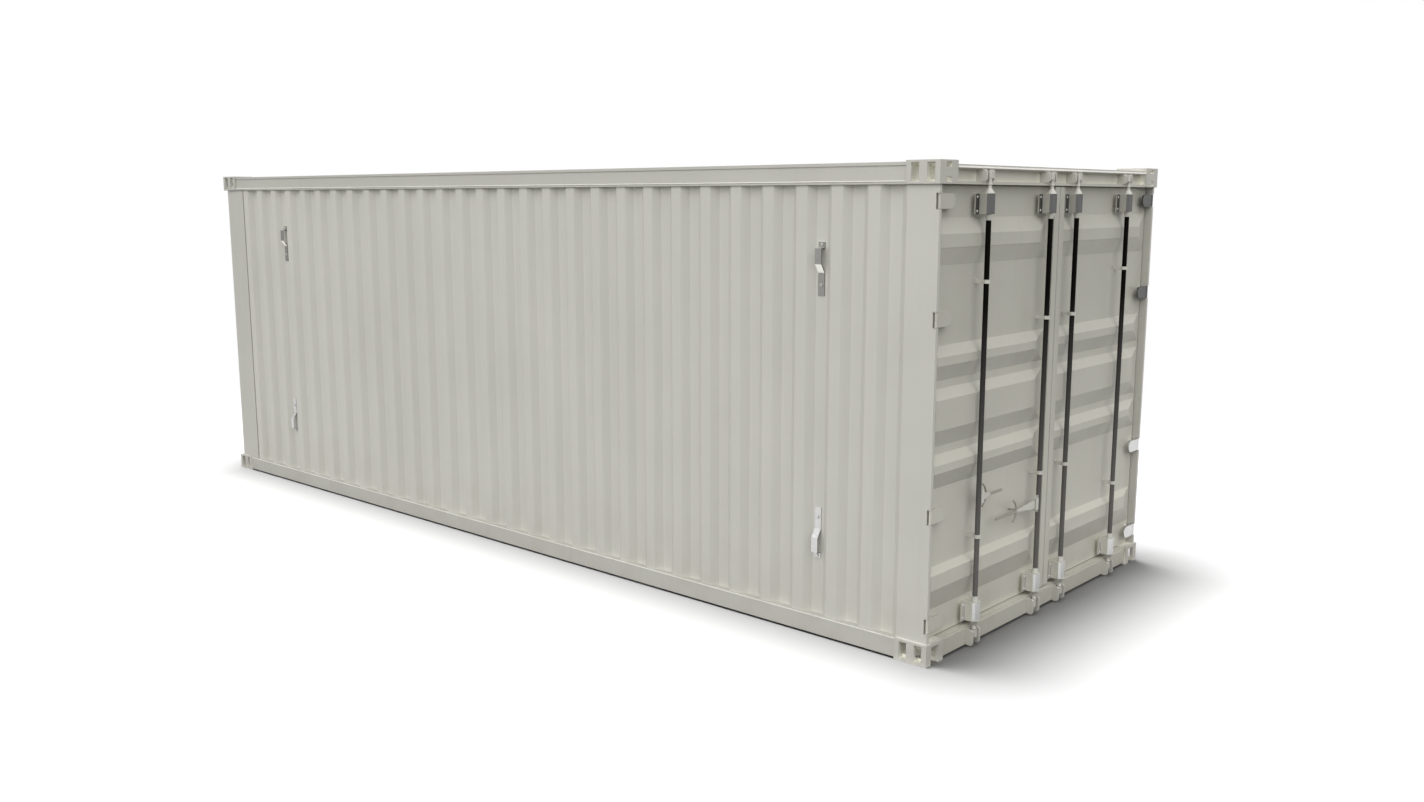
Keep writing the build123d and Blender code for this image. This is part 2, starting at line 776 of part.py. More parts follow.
def save_lock_gear():
    """The four lock rods with their ends, and the two handles and catches of the left leaf."""
    hubs = {"outer": handle_hub(-outer_rod_y, short_handle_z, RIGHT),
            "inner": handle_hub(-inner_rod_y, long_handle_z, LEFT)}
    for name, y, turn in (("outer", -outer_rod_y, RIGHT), ("inner", -inner_rod_y, LEFT)):
        bar = lock_rod(y)
        ends = [rod_end(y, lower_bearing_z, lower_cam_z, turn),
                rod_end(y, upper_bearing_z, upper_cam_z, turn)]
        save("lock_rod_left_" + name, bar)
        save("lock_rod_right_" + name, mirrored(bar))
        save("rod_fittings_left_" + name, ends + [hubs[name]])
        save("rod_fittings_right_" + name, [mirrored(shape) for shape in ends])
    save("short_handle", handle(-outer_rod_y, short_handle_z, RIGHT, short_handle_length,
                                short_catch_offset))
    save("long_handle", handle(-inner_rod_y, long_handle_z, LEFT, long_handle_length,
                               long_catch_offset))
    save("handle_catches", [
        handle_catch(-outer_rod_y + short_catch_offset, short_handle_z, LEFT),
        handle_catch(-inner_rod_y - long_catch_offset, long_handle_z, LEFT)])


os.makedirs("parts", exist_ok=True)
save_frame()
save_fittings()
save_leaf(LEFT, "left_door")
save_leaf(RIGHT, "right_door")
save_lock_gear()
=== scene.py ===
import bmesh
import bpy
import math
from mathutils import Matrix, Vector


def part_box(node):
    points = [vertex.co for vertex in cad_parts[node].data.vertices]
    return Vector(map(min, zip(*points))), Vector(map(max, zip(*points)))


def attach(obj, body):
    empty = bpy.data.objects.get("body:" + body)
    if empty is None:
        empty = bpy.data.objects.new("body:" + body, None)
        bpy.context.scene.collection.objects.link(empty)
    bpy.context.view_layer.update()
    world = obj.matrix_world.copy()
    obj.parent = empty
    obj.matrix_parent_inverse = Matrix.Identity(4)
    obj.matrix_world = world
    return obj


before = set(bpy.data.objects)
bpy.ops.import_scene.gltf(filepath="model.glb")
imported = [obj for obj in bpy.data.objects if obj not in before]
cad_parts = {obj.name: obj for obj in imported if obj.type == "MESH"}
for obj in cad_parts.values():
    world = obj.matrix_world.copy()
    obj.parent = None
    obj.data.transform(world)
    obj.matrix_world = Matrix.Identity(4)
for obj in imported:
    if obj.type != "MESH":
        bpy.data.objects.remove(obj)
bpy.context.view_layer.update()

# Camera, fitted to the corner castings of the photograph
IMAGE_WIDTH = 1424.0
FOCAL_PIXELS = 1221.56
SENSOR = 36.0
CAMERA_YAW = 41.963
CAMERA_PITCH = 9.395
CAMERA_PLACE = (6.8056, -6.5242, 2.4008)
VIEW_DEPTH = 1000.0

# Studio: the sky, one lamp over the floor alone and three over the container alone
FLOOR_SIZE = 400.0
FLOOR_SEEN = 0.38
FLOOR_BOUNCE = 0.058
SHADOW_REACH = 6.5
SHADOW_FADE = 1.5
SKY_LEVEL = 0.45
FLOOR_LAMP_PLACE = (-1.48, -0.46, 30.5)
FLOOR_LAMP_SIZE = 10.8
FLOOR_LAMP_LEVEL = 3.0
SUN_PLACE = (0.0, 0.0, 10.0)
SIDE_LAMP_FROM = Vector((-0.18, -0.86, 0.42))
SIDE_LAMP_LEVEL = 0.71
SIDE_LAMP_ANGLE = 80.0
END_LAMP_FROM = Vector((0.70, -0.16, 0.70))
END_LAMP_LEVEL = 0.52
END_LAMP_ANGLE = 70.0
BACK_LAMP_FROM = Vector((-0.62, 0.70, 0.35))
BACK_LAMP_LEVEL = 0.45
BACK_LAMP_ANGLE = 30.0

# Colours, as linear values
STONE = (0.537, 0.530, 0.480)
DOOR_STONE = (0.544, 0.534, 0.466)
# Painted highlights, for the drip edge, the rail beads and the welds
PAINTED_HIGHLIGHT = (0.80, 0.79, 0.74)
BEAD_HIGHLIGHT = (0.64, 0.63, 0.58)
DUST = (0.36, 0.33, 0.27)
HANDLE_GRIP_DARK = (0.29, 0.28, 0.23)
WIRE = (0.34, 0.33, 0.28)
ROD_BLACK = (0.002, 0.002, 0.0015)
# Rod colour low down: painted reflection of the bright floor
ROD_LOW_REFLECTION = (0.13, 0.127, 0.12)
SEAL_GREY = (0.42, 0.42, 0.39)
# Bare steel; its middle and dark copies are painted reflection, used high up
STEEL = (0.66, 0.66, 0.65)
STEEL_MIDDLE_REFLECTION = (0.20, 0.20, 0.19)
STEEL_DARK_REFLECTION = (0.11, 0.11, 0.108)
PLYWOOD = (0.30, 0.17, 0.08)
PLYWOOD_DARK = (0.16, 0.085, 0.04)
PLYWOOD_SCUFF = (0.27, 0.22, 0.17)
WHITE = (1.0, 1.0, 1.0, 1.0)

# Where a finish, or the light and shade painted into it, changes, from the first place to the second,
# in metres
DUST_FALL = (0.55, 0.0)
TOP_SHADE_RISE = (0.7, 2.2)
FRONT_SHADE_SPAN = (3.0, -3.4)
HEIGHT_SHADE_SPAN = (1.2, 1.7)
ROD_REFLECTION_RISE = (1.85, 0.5)
LONG_GRIP = (-0.40, -0.43)
SHORT_GRIP = (-0.74, -0.72)
TOP_RIB_SLOPE = (2.071, 2.154)
SLOPE_MARGIN = 0.003
CORRUGATION_DEPTH = 0.030
FLANGE_MARGIN = 0.001

# Spans of values: what a noise gives, which way a surface faces, how open a place is
NOISE_WIDE = (0.3, 0.7)
NOISE_MIDDLE = (0.35, 0.65)
NOISE_NARROW = (0.4, 0.6)
FACING_DOWN = (-0.1, -0.2)
FACING_OUT = (0.3, 0.5)
LEANING = (0.2, 0.4)
EDGE_SPAN = (0.995, 0.90)
CLOSED_IN = 0.3
OPEN_ENOUGH = 0.9
CASTING_OPEN_ENOUGH = 0.6

# Paints: how light or dark each is against the colour that it starts from
FRAME_TONE = 0.985
RAIL_TONE = 0.92
HEADER_TONE = 0.90
SILL_TONE = 0.92
CASTING_TONE = 0.94
ROOF_TONE = 0.93
FITTING_TONE = 1.04
# Painted reflection on rivet tops, and painted shade on door tops, at the front end and in wall
# valleys
RIVET_TOP_REFLECTION = 0.8
DOOR_TOP_SHADE = 0.85
WALL_FRONT_SHADE = 0.96
FRAME_FRONT_SHADE = 0.86
VALLEY_SHADE = 0.99
VALLEY_MARGIN_SHARE = 0.1

# Paint: how dark its marks are against it, where they show, and how strong they get
PATCH_TONE = 0.95
STREAK_TONE = 0.86
STREAK_SPAN = (0.56, 0.74)
STREAK_SHARE = (0.0, 0.30)
DUST_SPAN = (0.40, 0.65)
DUST_SHARE = (0.0, 0.28)
CHIP_TONE = 0.72
CHIP_SPAN = (0.50, 0.62)
CHIP_SHARE = (0.10, 0.45)
PAINT_SHINE = 0.35
PAINT_SMOOTHER = 0.05
PAINT_ROUGHER = 0.07
PEEL_DEPTH = 0.001

# Rods, steel, boards and rubber: the same, with their roughness from smooth to rough
FINE_DEPTH = 0.0005
ROD_RUB_TONE = 2.2
ROD_RUB_SPAN = (0.45, 0.7)
ROD_RUB_SHARE = (0.0, 0.5)
ROD_ROUGHNESS = (0.30, 0.44)
ROD_SHINE = 0.03
ROD_EDGE = 0.001
STEEL_EDGE = 0.002
STEEL_ROUGHNESS = (0.36, 0.52)
GRAIN_TONE = (1.0, 0.86)
SPECK_TONE = (1.0, 0.95)
BEARING_ROUGHNESS = (0.36, 0.48)
# Painted shade high up on bearing sides; the strap tones are low-down colours of painted reflection
BEARING_TOP_SHADE = 0.74
STRAP_TONE = 0.78
STRAP_BEND_TONE = 0.62
JOINT_TONE = 0.3
SCUFF_SPAN = (0.52, 0.68)
SCUFF_SHARE = (0.0, 0.5)
BOARD_ROUGHNESS = (0.45, 0.65)
BOARD_EDGE = 0.002
BOARD_DEPTH = 0.002
RUBBER_DUST_TONE = 1.3
RUBBER_DUST_SPAN = (0.5, 0.7)
RUBBER_DUST_SHARE = (0.0, 0.5)
RUBBER_ROUGHNESS = (0.55, 0.75)
RUBBER_EDGE = 0.002
BEVEL_SAMPLES = 4
HOLLOW_SAMPLES = 8

# Floor sheets, in metres
SHEET_LENGTH = 2.4
SHEET_WIDTH = 0.61
SHEET_GAP = 0.003
SHEET_GAP_BLUR = 0.1

# Rivets, bolts, screws and welds, in metres
RIVET_RADIUS = 0.007
RIVET_HEIGHT = 0.004
RIVET_INSET = 0.016
DOME_TURN = 0.92
DOME_SKIRT = 0.2
BEARING_PROUD = 0.054
FLANGE_BEHIND_RIB = 0.015
BOLT_RADIUS = 0.009
BOLT_HEIGHT = 0.007
BOLT_CHAMFER = 0.8
BOLT_SIDES = 6
TAB_BOLT = 0.015
TAIL_BOLT = 0.057
STRAP_THICKNESS = 0.005
BRACKET_PARTING = 1.5
SCREW_RADIUS = 0.007
SCREW_HEIGHT = 0.0008
SCREW_MARGIN = 0.08
SCREW_COUNT = 11
WELD_RADIUS = 0.004
WELD_PITCH = 0.012
WELD_RIPPLES = ((0.16, 2.3, 0.0), (0.08, 5.1, 1.0))
WELD_TIP = 0.15
WELD_SIDES = 6
WELD_FEWEST = 3
WALL_WELD_RADIUS = 0.0024
WALL_WELD_PITCH = 0.02
WALL_WELD_INSET = 0.002

# Door seals, in metres
SEAL_LIP = 0.004
SEAL_MEETING_LIP = 0.003
SEAL_DEPTH = 0.014
SEAL_SKIN = 0.0006
SEAL_CORNER = 0.003
SEAL_NOSE = 0.001
SEAL_HEEL = 0.0015
STRIP_SETBACK = 0.002
STRIP_BEVEL = 0.002
STRIP_NOSE_SHARE = 0.4

# Cover plates, roof edges, beads and the drip edge, in metres
SEATING = 0.0005
COVER_WIDTH = 0.172
COVER_THICKNESS = 0.003
COVER_RETURN = 0.010
ROOF_EDGE_TOP = 2.583
ROOF_EDGE_THICKNESS = 0.004
DRIP_LOW = 2.555
DRIP_HIGH = 2.566
DRIP_PROUD = 0.006
BEAD_RADIUS = 0.004
BEADS_BELOW_TOP = {"top_side_rails": 0.078, "bottom_side_rails": 0.005}

# How near two points of a mesh are one, and how finely places are told apart when sorting
SAME_POINT = 1e-6
SORTING_DIGITS = 4


def new_tree(name):
    """A material with an empty node tree, and its output."""
    material = bpy.data.materials.new(name)
    material.use_nodes = True
    tree = material.node_tree
    tree.nodes.clear()
    output = tree.nodes.new("ShaderNodeOutputMaterial")
    return material, tree, output


def noise(tree, place, scale, detail=4.0, roughness=0.5):
    """A noise value over the given coordinates."""
    node = tree.nodes.new("ShaderNodeTexNoise")
    node.inputs["Scale"].default_value = scale
    node.inputs["Detail"].default_value = detail
    node.inputs["Roughness"].default_value = roughness
    tree.links.new(place, node.inputs["Vector"])
    return node.outputs["Fac"]


def spread(tree, value, span, result=(0.0, 1.0)):
    """Map a value from one span to another, clamped."""
    node = tree.nodes.new("ShaderNodeMapRange")
    names = ("From Min", "From Max", "To Min", "To Max")
    for name, number in zip(names, (*span, *result)):
        node.inputs[name].default_value = number
    tree.links.new(value, node.inputs["Value"])
    return node.outputs["Result"]


def combine(tree, operation, first, second):
    """A math node over two sockets or numbers."""
    node = tree.nodes.new("ShaderNodeMath")
    node.operation = operation
    for socket, value in zip(node.inputs, (first, second)):
        if isinstance(value, float):
            socket.default_value = value
        else:
            tree.links.new(value, socket)
    return node.outputs[0]


def size_of(tree, value):
    """A value without its sign."""
    return combine(tree, "ABSOLUTE", value, 0.0)


def product(tree, first, second):
    """Two values multiplied."""
    return combine(tree, "MULTIPLY", first, second)


def blend_colours(tree, factor, first, second):
    """A colour between two, each given as a socket or as a colour."""
    node = tree.nodes.new("ShaderNodeMix")
    node.data_type = "RGBA"
    factor_socket, first_socket, second_socket = node.inputs[0], node.inputs[6], node.inputs[7]
    tree.links.new(factor, factor_socket)
    for socket, colour in ((first_socket, first), (second_socket, second)):
        if isinstance(colour, tuple):
            socket.default_value = (*colour, 1.0)
        else:
            tree.links.new(colour, socket)
    return node.outputs[2]


def scaled(colour, factor):
    """A colour made darker or lighter."""
    return tuple(factor * value for value in colour)


def dimmed(tree, colour, value):
    """A colour socket times a value socket."""
    node = tree.nodes.new("ShaderNodeHueSaturation")
    tree.links.new(value, node.inputs["Value"])
    tree.links.new(colour, node.inputs["Color"])
    return node.outputs["Color"]


def object_place(tree):
    """Object-space coordinates, the same for every node of the part."""
    return tree.nodes.new("ShaderNodeTexCoord").outputs["Object"]


def stretched(tree, place, scale):
    """Coordinates scaled along each axis."""
    node = tree.nodes.new("ShaderNodeMapping")
    node.inputs["Scale"].default_value = scale
    tree.links.new(place, node.inputs["Vector"])
    return node.outputs["Vector"]


def axes_of(tree, place):
    """The three coordinates as separate values."""
    node = tree.nodes.new("ShaderNodeSeparateXYZ")
    tree.links.new(place, node.inputs[0])
    return node.outputs


def facing(tree):
    """The three parts of the surface's own direction, in object space."""
    return axes_of(tree, tree.nodes.new("ShaderNodeTexCoord").outputs["Normal"])


def rounded(tree, radius):
    """The surface normal, with the edges rounded."""
    node = tree.nodes.new("ShaderNodeBevel")
    node.samples = BEVEL_SAMPLES
    node.inputs["Radius"].default_value = radius
    return node.outputs["Normal"]


def edges_of(tree, soft_normal):
    """One at the edges, where the rounded normal leaves the true one, and zero elsewhere."""
    hard = tree.nodes.new("ShaderNodeNewGeometry")
    dot = tree.nodes.new("ShaderNodeVectorMath")
    dot.operation = "DOT_PRODUCT"
    tree.links.new(soft_normal, dot.inputs[0])
    tree.links.new(hard.outputs["Normal"], dot.inputs[1])
    return spread(tree, dot.outputs["Value"], EDGE_SPAN)


def bump(tree, normal, height, strength, depth):
    """A bump from a height value, on top of a normal."""
    node = tree.nodes.new("ShaderNodeBump")
    node.inputs["Strength"].default_value = strength
    node.inputs["Distance"].default_value = depth
    tree.links.new(height, node.inputs["Height"])
    tree.links.new(normal, node.inputs["Normal"])
    return node.outputs["Normal"]


def principled(tree, base, roughness, normal=None):
    """A principled shader fed with a colour, a roughness and, if given, a normal."""
    shader = tree.nodes.new("ShaderNodeBsdfPrincipled")
    tree.links.new(base, shader.inputs["Base Color"])
    tree.links.new(roughness, shader.inputs["Roughness"])
    if normal is not None:
        tree.links.new(normal, shader.inputs["Normal"])
    return shader


def painted_shade_at_top(value):
    """A tone for paint that is that much darker high up: painted shade."""
    def tone(tree, place, base):
        return dimmed(tree, base, spread(tree, axes_of(tree, place)[2], TOP_SHADE_RISE, (1.0, value)))
    return tone


def painted_shade_at_front(value):
    """A tone for paint that is that much darker towards the front end: painted shade."""
    def tone(tree, place, base):
        return dimmed(tree, base, spread(tree, axes_of(tree, place)[0], FRONT_SHADE_SPAN, (1.0, value)))
    return tone


def painted_valley_shade(ridge, value):
    """A tone for a corrugated side wall: painted shade in its valleys."""
    def tone(tree, place, base):
        out = size_of(tree, axes_of(tree, place)[1])
        span = (ridge - CORRUGATION_DEPTH, ridge - VALLEY_MARGIN_SHARE * CORRUGATION_DEPTH)
        return dimmed(tree, base, spread(tree, out, span, (value, 1.0)))
    return tone


def painted_light_in_hollows(reach, gain, open_above=OPEN_ENOUGH):
    """A tone for hollows and narrow gaps: painted light, lighter the more closed in they are."""
    def tone(tree, place, base):
        node = tree.nodes.new("ShaderNodeAmbientOcclusion")
        node.samples = HOLLOW_SAMPLES
        node.inputs["Distance"].default_value = reach
        span = (open_above, CLOSED_IN)
        return dimmed(tree, base, spread(tree, node.outputs["AO"], span, (1.0, gain)))
    return tone


def painted_light_underside(low, high, gain):
    """A tone for what leans down between two heights: painted light."""
    def tone(tree, place, base):
        height = axes_of(tree, place)[2]
        above = spread(tree, height, (low - SLOPE_MARGIN, low))
        below = spread(tree, height, (high, high + SLOPE_MARGIN), (1.0, 0.0))
        under = spread(tree, facing(tree)[2], FACING_DOWN)
        inside = product(tree, product(tree, above, below), under)
        return dimmed(tree, base, spread(tree, inside, (0.0, 1.0), (1.0, gain)))
    return tone


def darker_beyond(span):
    """A tone for a handle's grip, darker past a span along Y."""
    def tone(tree, place, base):
        return blend_colours(tree, spread(tree, axes_of(tree, place)[1], span), base, HANDLE_GRIP_DARK)
    return tone


def weathered(tree, place, colour):
    """A paint colour with faint patches, rain streaks, and dust low down."""
    patches = spread(tree, noise(tree, place, scale=1.3, detail=5.0, roughness=0.6), NOISE_MIDDLE)
    base = blend_colours(tree, patches, colour, scaled(colour, PATCH_TONE))
    downward = stretched(tree, place, scale=(9.0, 9.0, 0.5))
    rain = noise(tree, downward, scale=2.0, detail=5.0, roughness=0.6)
    streaks = spread(tree, rain, STREAK_SPAN, STREAK_SHARE)
    base = blend_colours(tree, streaks, base, scaled(colour, STREAK_TONE))
    low_down = spread(tree, axes_of(tree, place)[2], DUST_FALL, DUST_SHARE)
    clouds = spread(tree, noise(tree, place, scale=4.0, detail=6.0, roughness=0.65), DUST_SPAN)
    return blend_colours(tree, product(tree, low_down, clouds), base, DUST)


def paint(name, colour, roughness, edge_radius=0.003, texture=0.06, tones=()):
    """Sprayed steel paint: weathered, with worn edges and orange peel."""
    material, tree, output = new_tree(name)
    place = object_place(tree)
    normal = rounded(tree, edge_radius)
    chips = spread(tree, noise(tree, place, scale=38.0, roughness=0.6), CHIP_SPAN, CHIP_SHARE)
    worn = product(tree, edges_of(tree, normal), chips)
    base = blend_colours(tree, worn, weathered(tree, place, colour), scaled(colour, CHIP_TONE))
    for tone in tones:
        base = tone(tree, place, base)
    swing = (roughness - PAINT_SMOOTHER, roughness + PAINT_ROUGHER)
    rough = spread(tree, noise(tree, place, scale=9.0), NOISE_WIDE, swing)
    peel = noise(tree, place, scale=160.0, detail=2.0)
    shader = principled(tree, base, rough, bump(tree, normal, peel, texture, PEEL_DEPTH))
    shader.inputs["Specular IOR Level"].default_value = PAINT_SHINE
    tree.links.new(shader.outputs["BSDF"], output.inputs["Surface"])
    return material


def rod_paint():
    """Black satin paint, greyer low down as a painted reflection of the bright floor."""
    material, tree, output = new_tree("rod_paint")
    place = object_place(tree)
    rubbed = noise(tree, stretched(tree, place, scale=(30.0, 30.0, 4.0)), scale=1.0)
    rub = spread(tree, rubbed, ROD_RUB_SPAN, ROD_RUB_SHARE)
    base = blend_colours(tree, rub, ROD_BLACK, scaled(ROD_BLACK, ROD_RUB_TONE))
    base = blend_colours(tree, spread(tree, axes_of(tree, place)[2], ROD_REFLECTION_RISE), base, ROD_LOW_REFLECTION)
    rough = spread(tree, noise(tree, place, scale=25.0, detail=3.0), NOISE_WIDE, ROD_ROUGHNESS)
    grain = noise(tree, place, scale=220.0, detail=2.0)
    normal = bump(tree, rounded(tree, ROD_EDGE), grain, strength=0.04, depth=FINE_DEPTH)
    shader = principled(tree, base, rough, normal)
    shader.inputs["Specular IOR Level"].default_value = ROD_SHINE
    tree.links.new(shader.outputs["BSDF"], output.inputs["Surface"])
    return material


def metal_shader(tree, place, base):
    """Brushed steel in the given colour socket."""
    grain = noise(tree, stretched(tree, place, scale=(1.0, 1.0, 6.0)), scale=60.0, detail=3.0)
    base = dimmed(tree, base, spread(tree, grain, NOISE_MIDDLE, GRAIN_TONE))
    rough = spread(tree, grain, NOISE_WIDE, STEEL_ROUGHNESS)
    normal = bump(tree, rounded(tree, STEEL_EDGE), grain, strength=0.05, depth=FINE_DEPTH)
    shader = principled(tree, base, rough, normal)
    shader.inputs["Metallic"].default_value = 1.0
    return shader


def reflection_and_shade_by_height(tree, place, light, dark):
    """A colour that is light low down and dark high up: painted reflection on bare steel, painted
    shade on paint.
    """
    return blend_colours(tree, spread(tree, axes_of(tree, place)[2], HEIGHT_SHADE_SPAN), light, dark)


def steel(name, light, dark):
    """Bare steel all over, with painted reflection: light low down, dark high up."""
    material, tree, output = new_tree(name)
    place = object_place(tree)
    shader = metal_shader(tree, place, reflection_and_shade_by_height(tree, place, light, dark))
    tree.links.new(shader.outputs["BSDF"], output.inputs["Surface"])
    return material


def bracket_steel():
    """Bare strap steel with painted reflection, dark high up, and a painted highlight on its bends
    there.
    """
    material, tree, output = new_tree("bracket_steel")
    place = object_place(tree)
    flat = reflection_and_shade_by_height(tree, place, scaled(STEEL, STRAP_TONE), STEEL_MIDDLE_REFLECTION)
    bend = reflection_and_shade_by_height(tree, place, scaled(STEEL, STRAP_BEND_TONE), PAINTED_HIGHLIGHT)
    bend_highlight_mask = spread(tree, size_of(tree, facing(tree)[2]), LEANING)
    shader = metal_shader(tree, place, blend_colours(tree, bend_highlight_mask, flat, bend))
    tree.links.new(shader.outputs["BSDF"], output.inputs["Surface"])
    return material


def bearing_steel(flange_back):
    """Bare steel on flanges and caps, with painted reflection; paint on their sides and behind the
    flanges, with painted shade.
    """
    material, tree, output = new_tree("bearing_steel")
    place = object_place(tree)
    metal = metal_shader(tree, place, reflection_and_shade_by_height(tree, place, STEEL, STEEL_DARK_REFLECTION))
    sides = reflection_and_shade_by_height(tree, place, DOOR_STONE, scaled(DOOR_STONE, BEARING_TOP_SHADE))
    specks = spread(tree, noise(tree, place, scale=30.0), NOISE_NARROW, SPECK_TONE)
    rough = spread(tree, noise(tree, place, scale=9.0), NOISE_WIDE, BEARING_ROUGHNESS)
    painted = principled(tree, dimmed(tree, sides, specks), rough)
    proud = spread(tree, axes_of(tree, place)[0], (flange_back, flange_back + FLANGE_MARGIN))
    outward = spread(tree, facing(tree)[0], FACING_OUT)
    mix = tree.nodes.new("ShaderNodeMixShader")
    tree.links.new(product(tree, proud, outward), mix.inputs["Fac"])
    tree.links.new(painted.outputs["BSDF"], mix.inputs[1])
    tree.links.new(metal.outputs["BSDF"], mix.inputs[2])
    tree.links.new(mix.outputs["Shader"], output.inputs["Surface"])
    return material


def floor_joints(tree, place):
    """One in the gaps between the floor sheets, and zero on them."""
    node = tree.nodes.new("ShaderNodeTexBrick")
    settings = (("Scale", 1.0), ("Brick Width", SHEET_LENGTH), ("Row Height", SHEET_WIDTH),
                ("Mortar Size", SHEET_GAP), ("Mortar Smooth", SHEET_GAP_BLUR))
    for name, value in settings:
        node.inputs[name].default_value = value
    tree.links.new(place, node.inputs["Vector"])
    return node.outputs["Fac"]


def boards():
    """Varnished floor plywood: grain along the container, butt joints and scuffs."""
    material, tree, output = new_tree("floor_boards")
    place = object_place(tree)
    along = stretched(tree, place, scale=(0.7, 14.0, 14.0))
    grain = noise(tree, along, scale=3.0, detail=6.0, roughness=0.65)
    base = blend_colours(tree, spread(tree, grain, NOISE_WIDE), PLYWOOD, PLYWOOD_DARK)
    joints = floor_joints(tree, place)
    base = blend_colours(tree, joints, base, scaled(PLYWOOD_DARK, JOINT_TONE))
    marks = noise(tree, place, scale=2.2, detail=6.0, roughness=0.7)
    scuffs = spread(tree, marks, SCUFF_SPAN, SCUFF_SHARE)
    base = blend_colours(tree, scuffs, base, PLYWOOD_SCUFF)
    height = combine(tree, "SUBTRACT", grain, joints)
    normal = bump(tree, rounded(tree, BOARD_EDGE), height, strength=0.3, depth=BOARD_DEPTH)
    shader = principled(tree, base, spread(tree, grain, NOISE_WIDE, BOARD_ROUGHNESS), normal)
    tree.links.new(shader.outputs["BSDF"], output.inputs["Surface"])
    return material


def rubber():
    """Grey sealing rubber, oversprayed and dusty."""
    material, tree, output = new_tree("seal_rubber")
    place = object_place(tree)
    clouds = noise(tree, place, scale=14.0, detail=5.0, roughness=0.6)
    dusty = spread(tree, clouds, RUBBER_DUST_SPAN, RUBBER_DUST_SHARE)
    base = blend_colours(tree, dusty, SEAL_GREY, scaled(SEAL_GREY, RUBBER_DUST_TONE))
    rough = spread(tree, noise(tree, place, scale=40.0, detail=3.0), NOISE_WIDE, RUBBER_ROUGHNESS)
    pores = noise(tree, place, scale=260.0, detail=2.0)
    normal = bump(tree, rounded(tree, RUBBER_EDGE), pores, strength=0.1, depth=FINE_DEPTH)
    shader = principled(tree, base, rough, normal)
    tree.links.new(shader.outputs["BSDF"], output.inputs["Surface"])
    return material


def make_materials():
    """Every finish of the part, by a short name."""
    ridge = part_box("side_wall_right")[1][1]
    flange_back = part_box("left_door_panel")[1][0] - FLANGE_BEHIND_RIB
    # Painted shade towards the front end, for the frame, rails and castings
    front_shade = painted_shade_at_front(FRAME_FRONT_SHADE)
    fitting = scaled(STONE, FITTING_TONE)
    return {
        # Wall: painted shade towards the front end and in its valleys, and painted light in its
        # hollows
        "wall": paint("wall_paint", STONE, roughness=0.42, tones=(
            painted_shade_at_front(WALL_FRONT_SHADE), painted_valley_shade(ridge, VALLEY_SHADE),
            painted_light_in_hollows(reach=0.05, gain=1.15))),
        "frame": paint("frame_paint", scaled(STONE, FRAME_TONE), roughness=0.40, tones=(front_shade,)),
        "rail": paint("rail_paint", scaled(STONE, RAIL_TONE), roughness=0.42, tones=(front_shade,)),
        # Header and castings: painted light in their hollows
        "header": paint("header_paint", scaled(DOOR_STONE, HEADER_TONE), roughness=0.40, tones=(
            painted_light_in_hollows(reach=0.06, gain=1.6),)),
        "sill": paint("sill_paint", scaled(DOOR_STONE, SILL_TONE), roughness=0.42),
        "casting": paint("casting_paint", scaled(STONE, CASTING_TONE), roughness=0.50,
                         edge_radius=0.006, texture=0.30, tones=(
                             front_shade, painted_light_in_hollows(0.10, 2.1, CASTING_OPEN_ENOUGH))),
        # Door: painted shade high up, and painted light in its hollows and on the top rib's lower
        # slope
        "door": paint("door_paint", DOOR_STONE, roughness=0.40, tones=(
            painted_shade_at_top(DOOR_TOP_SHADE), painted_light_in_hollows(reach=0.05, gain=1.25),
            painted_light_underside(*TOP_RIB_SLOPE, gain=1.14))),
        "roof": paint("roof_paint", scaled(STONE, ROOF_TONE), roughness=0.55),
        # Painted highlights
        "edge": paint("highlight_paint", PAINTED_HIGHLIGHT, roughness=0.45),
        "bead": paint("bead_highlight_paint", BEAD_HIGHLIGHT, roughness=0.45),
        "fitting": paint("fitting_paint", fitting, roughness=0.34, edge_radius=0.002),
        "wire": paint("wire_paint", WIRE, roughness=0.40, edge_radius=0.001),
        "long": paint("long_handle_paint", fitting, roughness=0.34, edge_radius=0.002,
                      tones=(darker_beyond(LONG_GRIP),)),
        "short": paint("short_handle_paint", fitting, roughness=0.34, edge_radius=0.002,
                       tones=(darker_beyond(SHORT_GRIP),)),
        # Rods and bare steel: painted reflection, lighter low down and darker high up
        "rod": rod_paint(),
        "bare": steel("bare_steel", STEEL, STEEL_DARK_REFLECTION),
        "bearing": bearing_steel(flange_back),
        "bracket": bracket_steel(),
        "rivet": steel("rivet_steel", STEEL, scaled(STEEL, RIVET_TOP_REFLECTION)),
        "wood": boards(),
        "rubber": rubber(),
    }


def dress_nodes(materials):
    """Give every CAD node its finish, by the first of these words that its name holds."""
    finishes = (("side_rails", "rail"), ("side_wall", "wall"), ("front_wall", "wall"),
                ("door_header", "header"), ("door_sill", "sill"), ("roof", "roof"),
                ("_castings", "casting"), ("door_panel", "door"), ("door_frame", "door"),
                ("lock_rod", "rod"), ("rod_fittings", "fitting"), ("handle_catches", "wire"),
                ("long_handle", "long"), ("short_handle", "short"), ("keepers", "fitting"),
                ("guides", "fitting"), ("hinge_pins", "fitting"), ("floor", "wood"),
                ("bearings", "bearing"), ("right_door_hinges", "bare"), ("left_door_hinges", "door"),
                ("tie_brackets", "bracket"))
    for name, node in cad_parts.items():
        finish = next((finish for word, finish in finishes if word in name), "frame")
        node.data.materials.clear()
        node.data.materials.append(materials[finish])


def new_piece(name, mesh_data, material, body):
    """A piece made from a bmesh, riding on a body, with its finish."""
    bmesh.ops.recalc_face_normals(mesh_data, faces=mesh_data.faces)
    mesh = bpy.data.meshes.new(name)
    mesh_data.to_mesh(mesh)
    mesh_data.free()
    mesh.materials.append(material)
    piece = bpy.data.objects.new(name, mesh)
    bpy.context.scene.collection.objects.link(piece)
    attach(piece, body)


